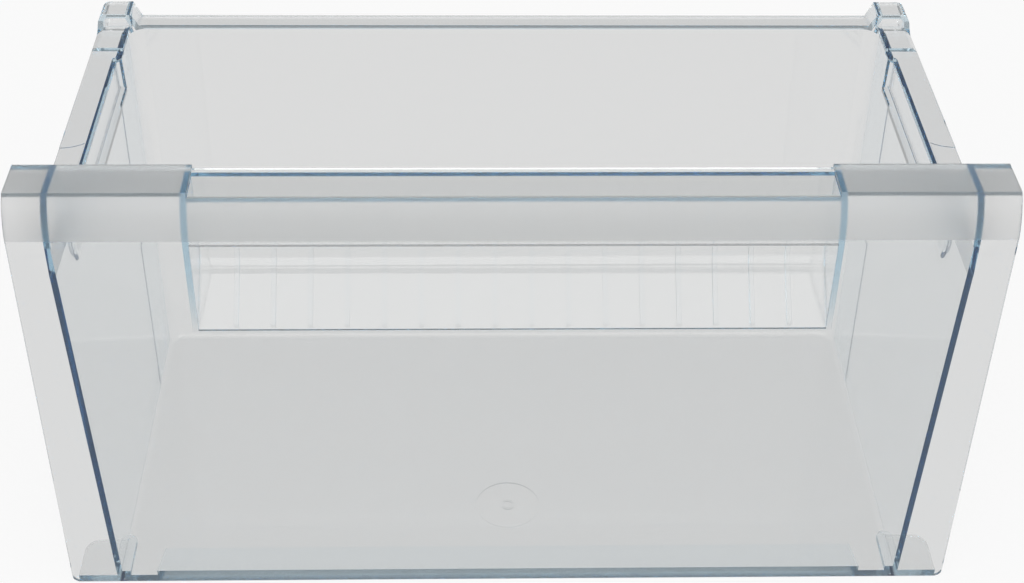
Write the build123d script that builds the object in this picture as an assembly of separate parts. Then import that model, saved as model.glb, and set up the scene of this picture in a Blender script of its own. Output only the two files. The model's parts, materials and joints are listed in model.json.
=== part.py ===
from build123d import *
from math import cos, radians, sin, sqrt, tan
import os

# Clear freezer drawer, moulded in one piece. Millimetres, X across, Y from the front to the back, Z up.
# While it is built, Y is counted from the front face. The finished part is centred on its own box.

# Front panel: a tall skin that rolls back at the top into a flat strip, and reaches past both sides.
front_width = 450.0
front_height = 236.5
wall = 3.0
roll_height = 22.0          # height of the rolled edge at the top of the skin
roll_depth = 9.0            # how far the skin has rolled back where it meets the strip
strip_back = 31.5           # back edge of the flat top strip, from the front face
wing_corner = 4.0           # radius of the two lower corners
web_wall = 2.0              # plates that close the top of the wings behind

# Tub behind the front panel. Its sides and back lean outwards so that it leaves the mould.
rim_drop = 38.5             # the rim lies this far below the top of the front
wing_reach = 22.8           # the front reaches this far past the side walls at the floor
side_draft = 1.85           # degrees
floor_depth = 201.0         # outer depth at the floor
back_lean = 8.4             # degrees
tub_corner = 10.0           # outer radius of the upright back corners
floor_edge = 5.0            # outer radius where the floor turns up

# Upper band of each side wall, pressed outwards below the runner.
band_offset = 2.4
band_start = 6.0            # behind the strip of the front
band_end = 5.0              # short of the back wall at the floor
band_height = 22.5
band_front_corner = 8.0
band_back_corner = 12.0

# Back panel of each side wall, thicker on its outside between two lines that lean as the back wall does.
panel_offset = 0.8
panel_width = 41.0          # along the side, up to the round back corner
press_slope = 50.0          # degrees, edges of the band and of the panel
press_lap = 4.0             # inside the drawer the band's edge lies this far within its outer edge

# Runner flange round the rim.
runner_inset = 2.2          # the runner stops this far short of the front's edge
runner_step_back = 40.0     # from the step in the runner to the back edge
runner_step = 2.0           # the runner is this much higher behind the step
runner_bevel = 3.0          # slope along the outer edge of the higher part
lead_in = 104.5             # the front of the runner is a little lower, up to a curved line
lead_in_sweep = 4.1         # the line is this much further back at the side wall
lead_in_depth = 0.3
back_flange = 9.0           # the flange stands this far out behind the back wall

# Stop ears on the back corners of the flange.
ear_rise = 8.5              # above the rim
ear_length = 15.5           # along the runner
ear_width = 17.5            # flat top, to the outer edge
ear_slope = 4.0             # run of the inner slope
ear_corner = 5.0            # outer top corner

# Handle: a finger pocket below the rolled edge, with its own lower top plate.
pocket_end = 80.4           # from the pocket to the edge of the front
grip_drop = 1.8             # top plate of the grip below the strip
grip_lip = 22.8             # lower edge of the grip, from the top of the front
pocket_lip = 71.0           # lower edge of the pocket, from the top of the front
pocket_depth = 26.5         # finger face of the back wall, from the front face
pocket_slope = 43.0         # degrees, floor of the pocket
pocket_bend = 14.0          # radius between the floor and the back wall
lip_round = 1.5             # radius along the lower edge of the pocket
rib_count = 16
rib_width = 2.2
rib_height = 1.0
rib_setback = 1.5           # the ribs stop this far behind the front face

# Foot of the drawer.
sill_end = 20.2             # thicker strip of floor behind the front skin, short of the side walls
sill_depth = 22.0
sill_rise = 3.0
sill_draft = 8.0            # degrees, ends of the sill
foot_depth = 28.5           # plates between the side walls and the wings
foot_inset = 3.0            # the plates stop this far short of the wing's edge
foot_corner = 8.0
pad_width = 7.0             # thicker floor inside each front corner
gate_from_front = 54.0      # round mark left by the moulding gate, under the floor
gate_dimple = 34.0
gate_ring = 7.0
gate_ring_wall = 1.0
gate_depth = 0.3

# Worked out from the driving dimensions
floor_half_width = front_width / 2 - wing_reach
runner_half_width = front_width / 2 - runner_inset
pocket_half_width = front_width / 2 - pocket_end
sill_half_width = floor_half_width - sill_end
band_front = strip_back + band_start
band_back = floor_depth - band_end
rim = front_height - rim_drop
ear_top = rim + ear_rise
press_rate = tan(radians(press_slope))
side_rate = tan(radians(side_draft))
back_rate = tan(radians(back_lean))
rim_half_width = floor_half_width + rim * side_rate
rim_depth = floor_depth + rim * back_rate
overall_depth = rim_depth + back_flange
runner_rise = overall_depth - runner_step_back
ear_front = overall_depth - ear_length
roll_start = front_height - roll_height
roll_radius = (roll_depth**2 + roll_height**2) / (2 * roll_depth)
grip_top = front_height - grip_drop
grip_edge = front_height - grip_lip
pocket_edge = front_height - pocket_lip
pocket_outer = pocket_half_width + wall
overshoot = 5.0             # cutters run past the faces that they open


def slab(face, half):
    """Extrude a section that lies across the drawer to both sides."""
    return extrude(face, amount=half, both=True)


def nose(top, inset):
    """Section under the front skin, as high as top, with its front and top set in."""
    reach = sqrt((roll_radius - inset)**2 - (top - inset - roll_start)**2)
    meet = (roll_radius - reach, top - inset)
    with BuildSketch(Plane.YZ) as section:
        with BuildLine():
            Line((inset, 0), (inset, roll_start))
            TangentArc((inset, roll_start), meet, tangent=(0, 1))
            Polyline(meet, (strip_back, top - inset), (strip_back, 0), (inset, 0))
        make_face()
    return section.sketch


def skin(top):
    return nose(top, 0) - nose(top, wall)


def front_panel():
    """The front skin with its strip, across the whole width, and its rounded lower corners."""
    panel = slab(skin(front_height), front_width / 2)
    corners = panel.edges().filter_by(Axis.Y).group_by(Axis.Z)[0]
    return fillet(corners, wing_corner)


def tub(inset, top):
    """The tub as a full body up to a height. An inset of one wall gives its inside."""
    def plan(z):
        half = floor_half_width + z * side_rate - inset
        back = floor_depth + z * back_rate - inset
        with BuildSketch(Plane.XY.offset(z)) as outline:
            with BuildLine():
                Polyline((-half, inset), (half, inset), (half, back), (-half, back), close=True)
            make_face()
            fillet(outline.vertices().group_by(Axis.Y)[-1], tub_corner - inset)
        return outline.sketch

    body = loft([plan(inset), plan(top)])
    turned_up = [e for e in body.edges().group_by(Axis.Z)[0] if e.center().Y > inset + overshoot]
    return fillet(turned_up, floor_edge - inset)


def both_sides(right):
    return right + mirror(right, about=Plane.YZ)


def side_view(points):
    """A flat face from points across the drawer, each a distance from the front and a height."""
    with BuildSketch(Plane.YZ) as area:
        with BuildLine():
            Polyline(*points, close=True)
        make_face()
    return area.sketch


def upright(face, near, far):
    """Extrude a face that lies across the drawer from one half width to another, on both sides."""
    return both_sides(extrude(Pos(near, 0, 0) * face, amount=far - near))


def band_area(inset, top):
    """Side view of the upper band: square at its top, with its two lower corners rounded."""
    low = rim - band_height + inset
    front = band_front + inset
    back = band_back - inset
    with BuildSketch() as area:
        with BuildLine():
            Polyline((front, top), (front, low), (back, low), (back, top), close=True)
        make_face()
        lower = area.vertices().group_by(Axis.Y)[0].sort_by(Axis.X)
        fillet(lower[0], band_front_corner - inset)
        fillet(lower[-1], band_back_corner - inset)
    return area.sketch


def panel_area(inset, low, top):
    """Side view of the back panel, which leans with the back wall."""
    back = floor_depth - tub_corner - inset
    front = floor_depth - tub_corner - panel_width + inset
    with BuildSketch() as area:
        with BuildLine():
            Polyline((front + low * back_rate, low), (front + top * back_rate, top),
                     (back + top * back_rate, top), (back + low * back_rate, low), close=True)
        make_face()
    return area.sketch


def press(area, inner, outer):
    """A plate with sloped edges along both side walls, between two distances from their outer face."""
    face = Plane((floor_half_width, 0, 0), x_dir=(0, 1, 0),
                 z_dir=(cos(radians(side_draft)), 0, -sin(radians(side_draft))))
    plate = extrude(face.offset(inner) * area, amount=outer - inner, taper=press_slope)
    return both_sides(plate)


def pressed_outside():
    """Outer side of the band and the panel, which end in the runner."""
    depth = wall / 2
    inset = -depth * press_rate
    band = press(band_area(inset, rim + band_height), -depth, band_offset)
    panel = press(panel_area(inset, floor_edge + inset, rim + band_height), -depth, panel_offset)
    below_runner = Pos(0, 0, rim - wall / 2) * Box(front_width, 2 * overall_depth, 2 * rim,
                                                   align=(Align.CENTER, Align.CENTER, Align.MAX))
    return (band + panel) & below_runner


def pressed_inside():
    """Inner side of the band, one wall in from its outer side."""
    depth = 3 * wall / 2
    inset = press_lap - (depth - wall) * press_rate
    return press(band_area(inset, rim + band_height), -depth, band_offset - wall)


def runner():
    """The flange along both sides, with its step, and along the back."""
    high = rim + runner_step
    start = strip_back - web_wall / 2
    section = side_view([(start, rim - wall), (start, rim), (runner_rise, rim), (runner_rise, high),
                         (overall_depth, high), (overall_depth, high - wall),
                         (runner_rise + wall, high - wall), (runner_rise + wall, rim - wall)])
    sides = upright(section, rim_half_width - wall, runner_half_width)
    flange_back = rim_depth - wall
    back = Pos(0, flange_back, rim - wall) * Box(2 * rim_half_width, overall_depth - flange_back, wall,
                                                 align=(Align.CENTER, Align.MIN, Align.MIN))
    return sides + back


def runner_relief():
    """What the runner leaves open: the slope along its higher part and the lower lead-in at the front."""
    high = rim + runner_step
    with BuildSketch(Plane((0, ear_front, 0), x_dir=(1, 0, 0), z_dir=(0, -1, 0))) as slope:
        with BuildLine():
            Polyline((runner_half_width - runner_bevel, high), (runner_half_width, high),
                     (runner_half_width, rim), close=True)
        make_face()
    inner = rim_half_width + band_offset
    with BuildSketch(Plane.XY.offset(rim - lead_in_depth)) as lead:
        with BuildLine():
            start = (runner_half_width, lead_in)
            end = (inner, lead_in + lead_in_sweep)
            TangentArc(start, end, tangent=(-1, 0))
            Polyline(end, (inner, strip_back), (runner_half_width, strip_back), start)
        make_face()
    return both_sides(extrude(slope.sketch, amount=ear_front - runner_rise)
                      + extrude(lead.sketch, amount=lead_in_depth))


def ear_area(inset, foot):
    """Front view of the right ear, standing on a foot height."""
    top = ear_top - inset
    outer = runner_half_width - inset
    inner = runner_half_width - ear_width + inset
    run = ear_slope * (top - foot) / ear_rise
    with BuildSketch() as area:
        with BuildLine():
            Polyline((inner - run, foot), (inner, top), (outer, top), (outer, foot), close=True)
        make_face()
        fillet(area.vertices().group_by(Axis.Y)[-1].sort_by(Axis.X)[-1], ear_corner - inset)
    return area.sketch


def ear(inset, front, back, foot):
    """Both ears, between two distances from the front face."""
    facing = Plane((0, back, 0), x_dir=(1, 0, 0), z_dir=(0, -1, 0))
    return both_sides(extrude(facing * ear_area(inset, foot), amount=back - front))


def ear_lip():
    """Outer edge of the runner, which sweeps up into the front of each ear."""
    start = (ear_front - ear_rise, rim)
    end = (ear_front, ear_top)
    with BuildSketch(Plane.YZ) as section:
        with BuildLine():
            TangentArc(start, end, tangent=(1, 0))
            Polyline(end, (ear_front, rim - runner_step / 2), (ear_front - ear_rise, rim - runner_step / 2),
                     start)
        make_face()
    sweep = upright(section.sketch, runner_half_width - wall, runner_half_width)
    return sweep & ear(0, ear_front - ear_rise, ear_front, rim - wall)


def webs():
    """Upright plates that close the wings behind, from the runner up to the strip."""
    reach = front_width / 2 - rim_half_width + wall / 2
    height = front_height - rim + wall / 2
    plate = Box(reach, web_wall, height, align=(Align.MAX, Align.MAX, Align.MAX))
    return both_sides(Pos(front_width / 2, strip_back, front_height) * plate)


def gussets():
    """The side walls carried on above the rim, up to the strip of the front."""
    with BuildSketch(Plane.YZ) as section:
        with BuildLine():
            Line((0, rim - wall), (0, roll_start))
            TangentArc((0, roll_start), (roll_depth, front_height), tangent=(0, 1))
            Polyline((roll_depth, front_height), (strip_back, front_height), (band_front, rim),
                     (band_front, rim - wall), (0, rim - wall))
        make_face()
    return upright(section.sketch, rim_half_width - wall, rim_half_width)


def pocket_room(inset, top):
    """Section of the finger room. A negative inset gives the outside of its walls."""
    back = pocket_depth - inset
    drop = inset / cos(radians(pocket_slope))
    low = pocket_edge + drop
    corner = low + back * tan(radians(pocket_slope))
    with BuildSketch(Plane.YZ) as section:
        with BuildLine():
            Polyline((0, low), (back, corner), (back, top), (0, top), close=True)
        make_face()
        fillet(section.vertices().group_by(Axis.X)[-1].sort_by(Axis.Y)[0], pocket_bend - inset)
    return section.sketch


def pocket_walls():
    """The outside of the pocket, between its end walls, under the roll of the front."""
    outside = pocket_room(-wall, front_height) & nose(front_height, 0)
    return slab(outside, pocket_outer)


def finger_room():
    """What the pocket leaves open: the room behind the grip and the mouth below it."""
    room = pocket_room(0, grip_top - wall) & nose(grip_top, wall)
    mouth = pocket_room(0, grip_edge)
    ahead = side_view([(-overshoot, pocket_edge), (-overshoot, grip_edge), (0, grip_edge), (0, pocket_edge)])
    return slab(room + mouth + ahead, pocket_half_width)


def grip():
    """The grip's own top plate, a little below the strip, with its roll cut to that height."""
    return slab(skin(grip_top), pocket_outer)


def ribs():
    """Upright ribs on the finger side of the pocket, evenly spaced between its end walls."""
    line = pocket_room(0, grip_edge) - pocket_room(rib_height, grip_edge)
    clear = side_view([(rib_setback, 0), (rib_setback, grip_edge), (strip_back, grip_edge), (strip_back, 0)])
    rib = slab(line & clear, rib_width / 2)
    pitch = 2 * pocket_half_width / (rib_count + 1)
    return [Pos((i + 1) * pitch - pocket_half_width, 0, 0) * rib for i in range(rib_count)]


def sill():
    """Thicker strip of floor behind the front skin, and a pad inside each front corner."""
    taper = sill_depth * tan(radians(sill_draft))
    with BuildSketch(Plane.XY.offset(wall / 2)) as strip:
        with BuildLine():
            back = sill_half_width - taper
            Polyline((-sill_half_width, 0), (sill_half_width, 0), (back, sill_depth), (-back, sill_depth),
                     close=True)
        make_face()
    with BuildSketch(Plane.XY.offset(wall / 2)) as pad:
        with BuildLine():
            Polyline((floor_half_width - pad_width, 0), (floor_half_width - wall / 2, 0),
                     (floor_half_width - wall / 2, foot_depth), (floor_half_width - pad_width, foot_depth),
                     close=True)
        make_face()
        fillet(pad.vertices().group_by(Axis.X)[0].sort_by(Axis.Y)[-1], pad_width / 2)
    rise = sill_rise + wall / 2
    raised = extrude(strip.sketch, amount=rise)
    raised = chamfer(raised.edges().group_by(Axis.Z)[-1].sort_by(Axis.Y)[-1], sill_rise)
    return raised + both_sides(extrude(pad.sketch, amount=rise))


def foot_plates():
    """Plates at floor level between the side walls and the wings of the front."""
    inner = floor_half_width - wall
    outer = front_width / 2 - foot_inset
    with BuildSketch() as plate:
        with BuildLine():
            Polyline((inner, 0), (outer, 0), (outer, foot_depth), (inner, foot_depth), close=True)
        make_face()
        fillet(plate.vertices().group_by(Axis.X)[-1].sort_by(Axis.Y)[-1], foot_corner)
    return both_sides(extrude(plate.sketch, amount=wall))


def gate():
    """Round dimple under the floor, less the ring that the gate leaves in it."""
    upward = (Align.CENTER, Align.CENTER, Align.MIN)
    dimple = Cylinder(gate_dimple / 2, gate_depth, align=upward)
    ring = Cylinder(gate_ring / 2, gate_depth, align=upward)
    bore = Cylinder(gate_ring / 2 - gate_ring_wall, gate_depth, align=upward)
    return Pos(0, gate_from_front, 0) * (dimple - (ring - bore))


# The drawer: what stands outside first, then its inside, then the handle
drawer = front_panel() + tub(0, rim) + pressed_outside() + runner() + gussets() + webs() + foot_plates()
drawer -= runner_relief()
drawer += ear(0, ear_front, overall_depth, rim - wall) + ear_lip()
drawer -= ear(wall, ear_front + wall, overall_depth, rim - wall - overshoot) - tub(0, ear_top)
drawer -= tub(wall, ear_top + overshoot) + pressed_inside()
drawer += sill()
drawer -= gate()
above_grip = Pos(0, 0, grip_top) * Box(2 * pocket_half_width, 2 * strip_back, 2 * grip_drop,
                                       align=(Align.CENTER, Align.CENTER, Align.MIN))
drawer += pocket_walls() - above_grip
drawer = drawer - above_grip + grip() - finger_room()
drawer = fillet(drawer.edges().filter_by(Axis.X).sort_by_distance((0, 0, pocket_edge))[0], lip_round)
drawer += ribs()

os.makedirs("parts", exist_ok=True)
export_step(Pos(0, -overall_depth / 2, 0) * drawer, "parts/drawer_body.step")
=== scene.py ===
import json
from math import radians

import bmesh
import bpy
from mathutils import Matrix, Vector

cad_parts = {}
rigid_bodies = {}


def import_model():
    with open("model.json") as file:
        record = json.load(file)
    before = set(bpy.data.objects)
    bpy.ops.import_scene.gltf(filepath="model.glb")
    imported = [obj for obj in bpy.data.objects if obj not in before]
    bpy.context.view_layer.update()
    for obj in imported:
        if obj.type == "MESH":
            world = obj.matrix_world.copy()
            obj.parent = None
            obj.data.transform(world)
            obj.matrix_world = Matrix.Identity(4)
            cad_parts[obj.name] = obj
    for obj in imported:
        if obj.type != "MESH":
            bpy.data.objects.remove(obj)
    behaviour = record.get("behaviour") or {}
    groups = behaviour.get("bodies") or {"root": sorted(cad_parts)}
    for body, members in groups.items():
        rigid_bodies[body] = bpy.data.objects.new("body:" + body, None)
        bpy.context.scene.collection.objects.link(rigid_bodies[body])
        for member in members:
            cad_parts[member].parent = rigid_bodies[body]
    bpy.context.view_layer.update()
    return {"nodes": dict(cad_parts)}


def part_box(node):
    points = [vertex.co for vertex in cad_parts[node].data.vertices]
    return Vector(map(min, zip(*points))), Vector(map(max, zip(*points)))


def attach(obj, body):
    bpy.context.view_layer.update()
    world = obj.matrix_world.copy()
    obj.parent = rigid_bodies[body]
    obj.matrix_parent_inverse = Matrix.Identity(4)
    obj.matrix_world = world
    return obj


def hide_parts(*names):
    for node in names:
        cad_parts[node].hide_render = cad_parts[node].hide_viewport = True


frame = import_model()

low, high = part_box("drawer_body")
mm = 0.001
scene = bpy.context.scene
scene.view_settings.view_transform = "Standard"


def toLinear(hexColour):
    channels = [int(hexColour[i:i + 2], 16) / 255 for i in (1, 3, 5)]
    return [c / 12.92 if c <= 0.04045 else ((c + 0.055) / 1.055) ** 2.4 for c in channels] + [1.0]


def addNode(tree, kind, settings=None, **links):
    # settings: properties by name, sockets by number; links: in0=socket, in1=socket ...
    node = tree.nodes.new(kind)
    for key, value in (settings or {}).items():
        if isinstance(key, int) or key in node.inputs:
            node.inputs[key].default_value = value
        else:
            setattr(node, key, value)
    for key, socket in links.items():
        tree.links.new(socket, node.inputs[int(key[2:])])
    return node


# drawer body

drawerLook = {
    "weld": 0.002 * mm,          # loose facets closer than this become one surface
    "creaseAngle": radians(30),  # sharper folds stay crisp, flatter ones shade round
}


def makeDrawer():
    mesh = frame["nodes"]["drawer_body"].data.copy()
    mesh.name = "clearDrawer"
    bm = bmesh.new()
    bm.from_mesh(mesh)
    bmesh.ops.remove_doubles(bm, verts=bm.verts, dist=drawerLook["weld"])
    for face in bm.faces:
        face.smooth = True
    for edge in bm.edges:
        edge.smooth = edge.is_manifold and edge.calc_face_angle() < drawerLook["creaseAngle"]
    openEdges = sum(not e.is_manifold for e in bm.edges)
    bm.to_mesh(mesh)
    bm.free()
    mesh.materials.clear()
    drawer = bpy.data.objects.new("clear_drawer", mesh)
    scene.collection.objects.link(drawer)
    flatness = drawer.modifiers.new("keepFlatsFlat", "WEIGHTED_NORMAL")
    flatness.mode = "FACE_AREA"
    flatness.weight = 100
    flatness.keep_sharp = True
    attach(drawer, "root")
    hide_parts("drawer_body")
    print("drawer body:", len(mesh.polygons), "faces,", openEdges, "open edges")
    return drawer


# clear polystyrene, moulded: see-through with a faint blue dye that only shows along an edge,
# polished all over apart from the satin grain on the outside of the rolled front edge
# and a finer grain under the floor

plasticLook = {
    "ior": 1.59,
    "clearness": "#FFFCFA",     # a little warm, which keeps a single wall from looking blue
    "edgeTint": "#3EBCDF",      # what is left of white after a long way through the wall
    "tintPerMetre": 21.0,
    "alpha": 0.98,              # a little light goes straight through, so that edges stay blue, not black
    "polish": 0.02,
    "satin": 0.52,
    "underGrain": 0.2,
    "satinFrom": 216.5 * mm,    # height where the grain begins
    "rollRadius": 31.39 * mm,   # outside of the rolled edge
    "rollStart": 214.5 * mm,
    "skinDepth": 1.0 * mm,      # the grain is on the outer face of the wall only
    "underDepth": 0.5 * mm,
}


def makePolystyrene():
    look = plasticLook
    material = bpy.data.materials.new("clear polystyrene, polished with a satin edge")
    material.use_nodes = True
    tree = material.node_tree
    tree.nodes.clear()
    place = addNode(tree, "ShaderNodeTexCoord")
    axes = addNode(tree, "ShaderNodeSeparateXYZ", in0=place.outputs["Object"])
    y, z = axes.outputs["Y"], axes.outputs["Z"]
    # distance from the roll's own centre line, so that only its outer face counts
    back = addNode(tree, "ShaderNodeMath", {"operation": "SUBTRACT", 1: low.y + look["rollRadius"]}, in0=y)
    rise = addNode(tree, "ShaderNodeMath", {"operation": "SUBTRACT", 1: look["rollStart"]}, in0=z)
    square = addNode(tree, "ShaderNodeMath", {"operation": "MULTIPLY"}, in0=back.outputs[0], in1=back.outputs[0])
    total = addNode(tree, "ShaderNodeMath", {"operation": "MULTIPLY_ADD"},
                    in0=rise.outputs[0], in1=rise.outputs[0], in2=square.outputs[0])
    reach = addNode(tree, "ShaderNodeMath", {"operation": "SQRT"}, in0=total.outputs[0])
    onRoll = addNode(tree, "ShaderNodeMath", {"operation": "GREATER_THAN",
                                              1: look["rollRadius"] - look["skinDepth"]}, in0=reach.outputs[0])
    inFront = addNode(tree, "ShaderNodeMath", {"operation": "LESS_THAN",
                                               1: low.y + look["rollRadius"]}, in0=y)
    roll = addNode(tree, "ShaderNodeMath", {"operation": "MULTIPLY"}, in0=onRoll.outputs[0], in1=inFront.outputs[0])
    onStrip = addNode(tree, "ShaderNodeMath", {"operation": "GREATER_THAN", 1: high.z - look["skinDepth"]}, in0=z)
    outside = addNode(tree, "ShaderNodeMath", {"operation": "MAXIMUM"}, in0=roll.outputs[0], in1=onStrip.outputs[0])
    above = addNode(tree, "ShaderNodeMath", {"operation": "GREATER_THAN", 1: look["satinFrom"]}, in0=z)
    grain = addNode(tree, "ShaderNodeMath", {"operation": "MULTIPLY"}, in0=outside.outputs[0], in1=above.outputs[0])
    satin = addNode(tree, "ShaderNodeMapRange", {3: look["polish"], 4: look["satin"]}, in0=grain.outputs[0])
    under = addNode(tree, "ShaderNodeMath", {"operation": "LESS_THAN", 1: low.z + look["underDepth"]}, in0=z)
    rough = addNode(tree, "ShaderNodeMath", {"operation": "MULTIPLY_ADD", 1: look["underGrain"]},
                    in0=under.outputs[0], in2=satin.outputs[0])
    shader = addNode(tree, "ShaderNodeBsdfPrincipled", {
        "Base Color": toLinear(look["clearness"]), "Transmission Weight": 1.0, "IOR": look["ior"],
        "Alpha": look["alpha"]})
    tree.links.new(rough.outputs[0], shader.inputs["Roughness"])
    dye = addNode(tree, "ShaderNodeVolumeAbsorption", {
        "Color": toLinear(look["edgeTint"]), "Density": look["tintPerMetre"]})
    output = addNode(tree, "ShaderNodeOutputMaterial")
    tree.links.new(shader.outputs[0], output.inputs["Surface"])
    tree.links.new(dye.outputs[0], output.inputs["Volume"])
    print("clear polystyrene ready")
    return material


drawer = makeDrawer()
drawer.data.materials.append(makePolystyrene())


# floor and light

studioLook = {
    "floorHalf": 6.0,
    "floorColour": "#F2F2F2",
    "floorGlow": 0.88,           # how much of the floor's white is its own, the rest shows the shadow
    "glowThrough": 0.755,        # its brightness by way of the plastic, where 1 is white
    "floorGap": 0.3 * mm,        # air under the drawer, so that its underside still bends light
    "bounces": 48,
    "frontSky": 0.95,            # brightness of the room behind the camera
    "backSky": 0.35,             # brightness of the room behind the drawer
}


def makeFloor():
    bm = bmesh.new()
    bmesh.ops.create_grid(bm, x_segments=1, y_segments=1, size=studioLook["floorHalf"])
    mesh = bpy.data.meshes.new("paleFloor")
    bm.to_mesh(mesh)
    bm.free()
    floor = bpy.data.objects.new("floor", mesh)
    scene.collection.objects.link(floor)
    floor.location.z = low.z - studioLook["floorGap"]
    mesh.materials.append(makeFloorCard())


# matt white card: even and pale, with a glow of its own that keeps it white round the drawer and through it
def makeFloorCard():
    material = bpy.data.materials.new("matt white card")
    material.use_nodes = True
    tree = material.node_tree
    tree.nodes.clear()
    card = addNode(tree, "ShaderNodeBsdfDiffuse", {"Color": toLinear(studioLook["floorColour"])})
    path = addNode(tree, "ShaderNodeLightPath")
    straight = path.outputs["Is Camera Ray"]
    byPlastic = addNode(tree, "ShaderNodeMath", {"operation": "MAXIMUM"},
                        in0=path.outputs["Is Glossy Ray"], in1=path.outputs["Is Transmission Ray"])
    level = addNode(tree, "ShaderNodeMapRange", {3: studioLook["glowThrough"], 4: 1.0}, in0=straight)
    glow = addNode(tree, "ShaderNodeEmission", in1=level.outputs[0])
    share = addNode(tree, "ShaderNodeMath", {"operation": "MULTIPLY_ADD", 1: studioLook["floorGlow"]},
                    in0=straight, in2=byPlastic.outputs[0])
    mix = addNode(tree, "ShaderNodeMixShader", in0=share.outputs[0], in1=card.outputs[0], in2=glow.outputs[0])
    addNode(tree, "ShaderNodeOutputMaterial", in0=mix.outputs[0])
    return material


def makeRoom():
    world = bpy.data.worlds.new("softRoom")
    scene.world = world
    world.use_nodes = True
    tree = world.node_tree
    tree.nodes.clear()
    place = addNode(tree, "ShaderNodeTexCoord")
    axes = addNode(tree, "ShaderNodeSeparateXYZ", in0=place.outputs["Generated"])
    sky = addNode(tree, "ShaderNodeMapRange", {1: -1.0, 2: 1.0, 3: studioLook["frontSky"], 4: studioLook["backSky"]},
                  in0=axes.outputs["Y"])
    light = addNode(tree, "ShaderNodeBackground")
    tree.links.new(sky.outputs[0], light.inputs["Strength"])
    output = addNode(tree, "ShaderNodeOutputWorld")
    tree.links.new(light.outputs[0], output.inputs["Surface"])


def makeLamp(name, location, size, power):
    light = bpy.data.lights.new(name, "AREA")
    light.size = size
    light.energy = power
    lamp = bpy.data.objects.new(name, light)
    scene.collection.objects.link(lamp)
    lamp.location = location
    lamp.rotation_euler = (-Vector(location)).to_track_quat("-Z", "Y").to_euler()


makeFloor()
makeRoom()
makeLamp("overheadSoftbox", (0.0, -1.6, 2.2), 3.2, 28)
for limit in ("max_bounces", "transmission_bounces", "glossy_bounces"):
    setattr(scene.cycles, limit, studioLook["bounces"])  # light runs far along inside a clear wall
print("room ready")


# camera, at the photograph's angle

cameraLook = {
    "place": (-20.111, -627.223, 673.676),  # mm, from the middle of the front's lower edge
    "down": 37.72, "turn": 1.74, "tilt": 0.90,
    "focalPixels": 1750.7, "imageWidth": 1024,
}


def makeCamera():
    look = cameraLook
    data = bpy.data.cameras.new("photoCamera")
    data.sensor_width = 36.0
    data.lens = look["focalPixels"] / look["imageWidth"] * data.sensor_width
    camera = bpy.data.objects.new("photoCamera", data)
    scene.collection.objects.link(camera)
    turn = (Matrix.Rotation(radians(-look["turn"]), 4, "Z")
            @ Matrix.Rotation(radians(90 - look["down"]), 4, "X")
            @ Matrix.Rotation(radians(look["tilt"]), 4, "Z"))
    front = Vector((0, low.y, low.z))
    camera.matrix_world = Matrix.Translation(front + Vector(look["place"]) * mm) @ turn
    scene.camera = camera


makeCamera()
print("camera ready")
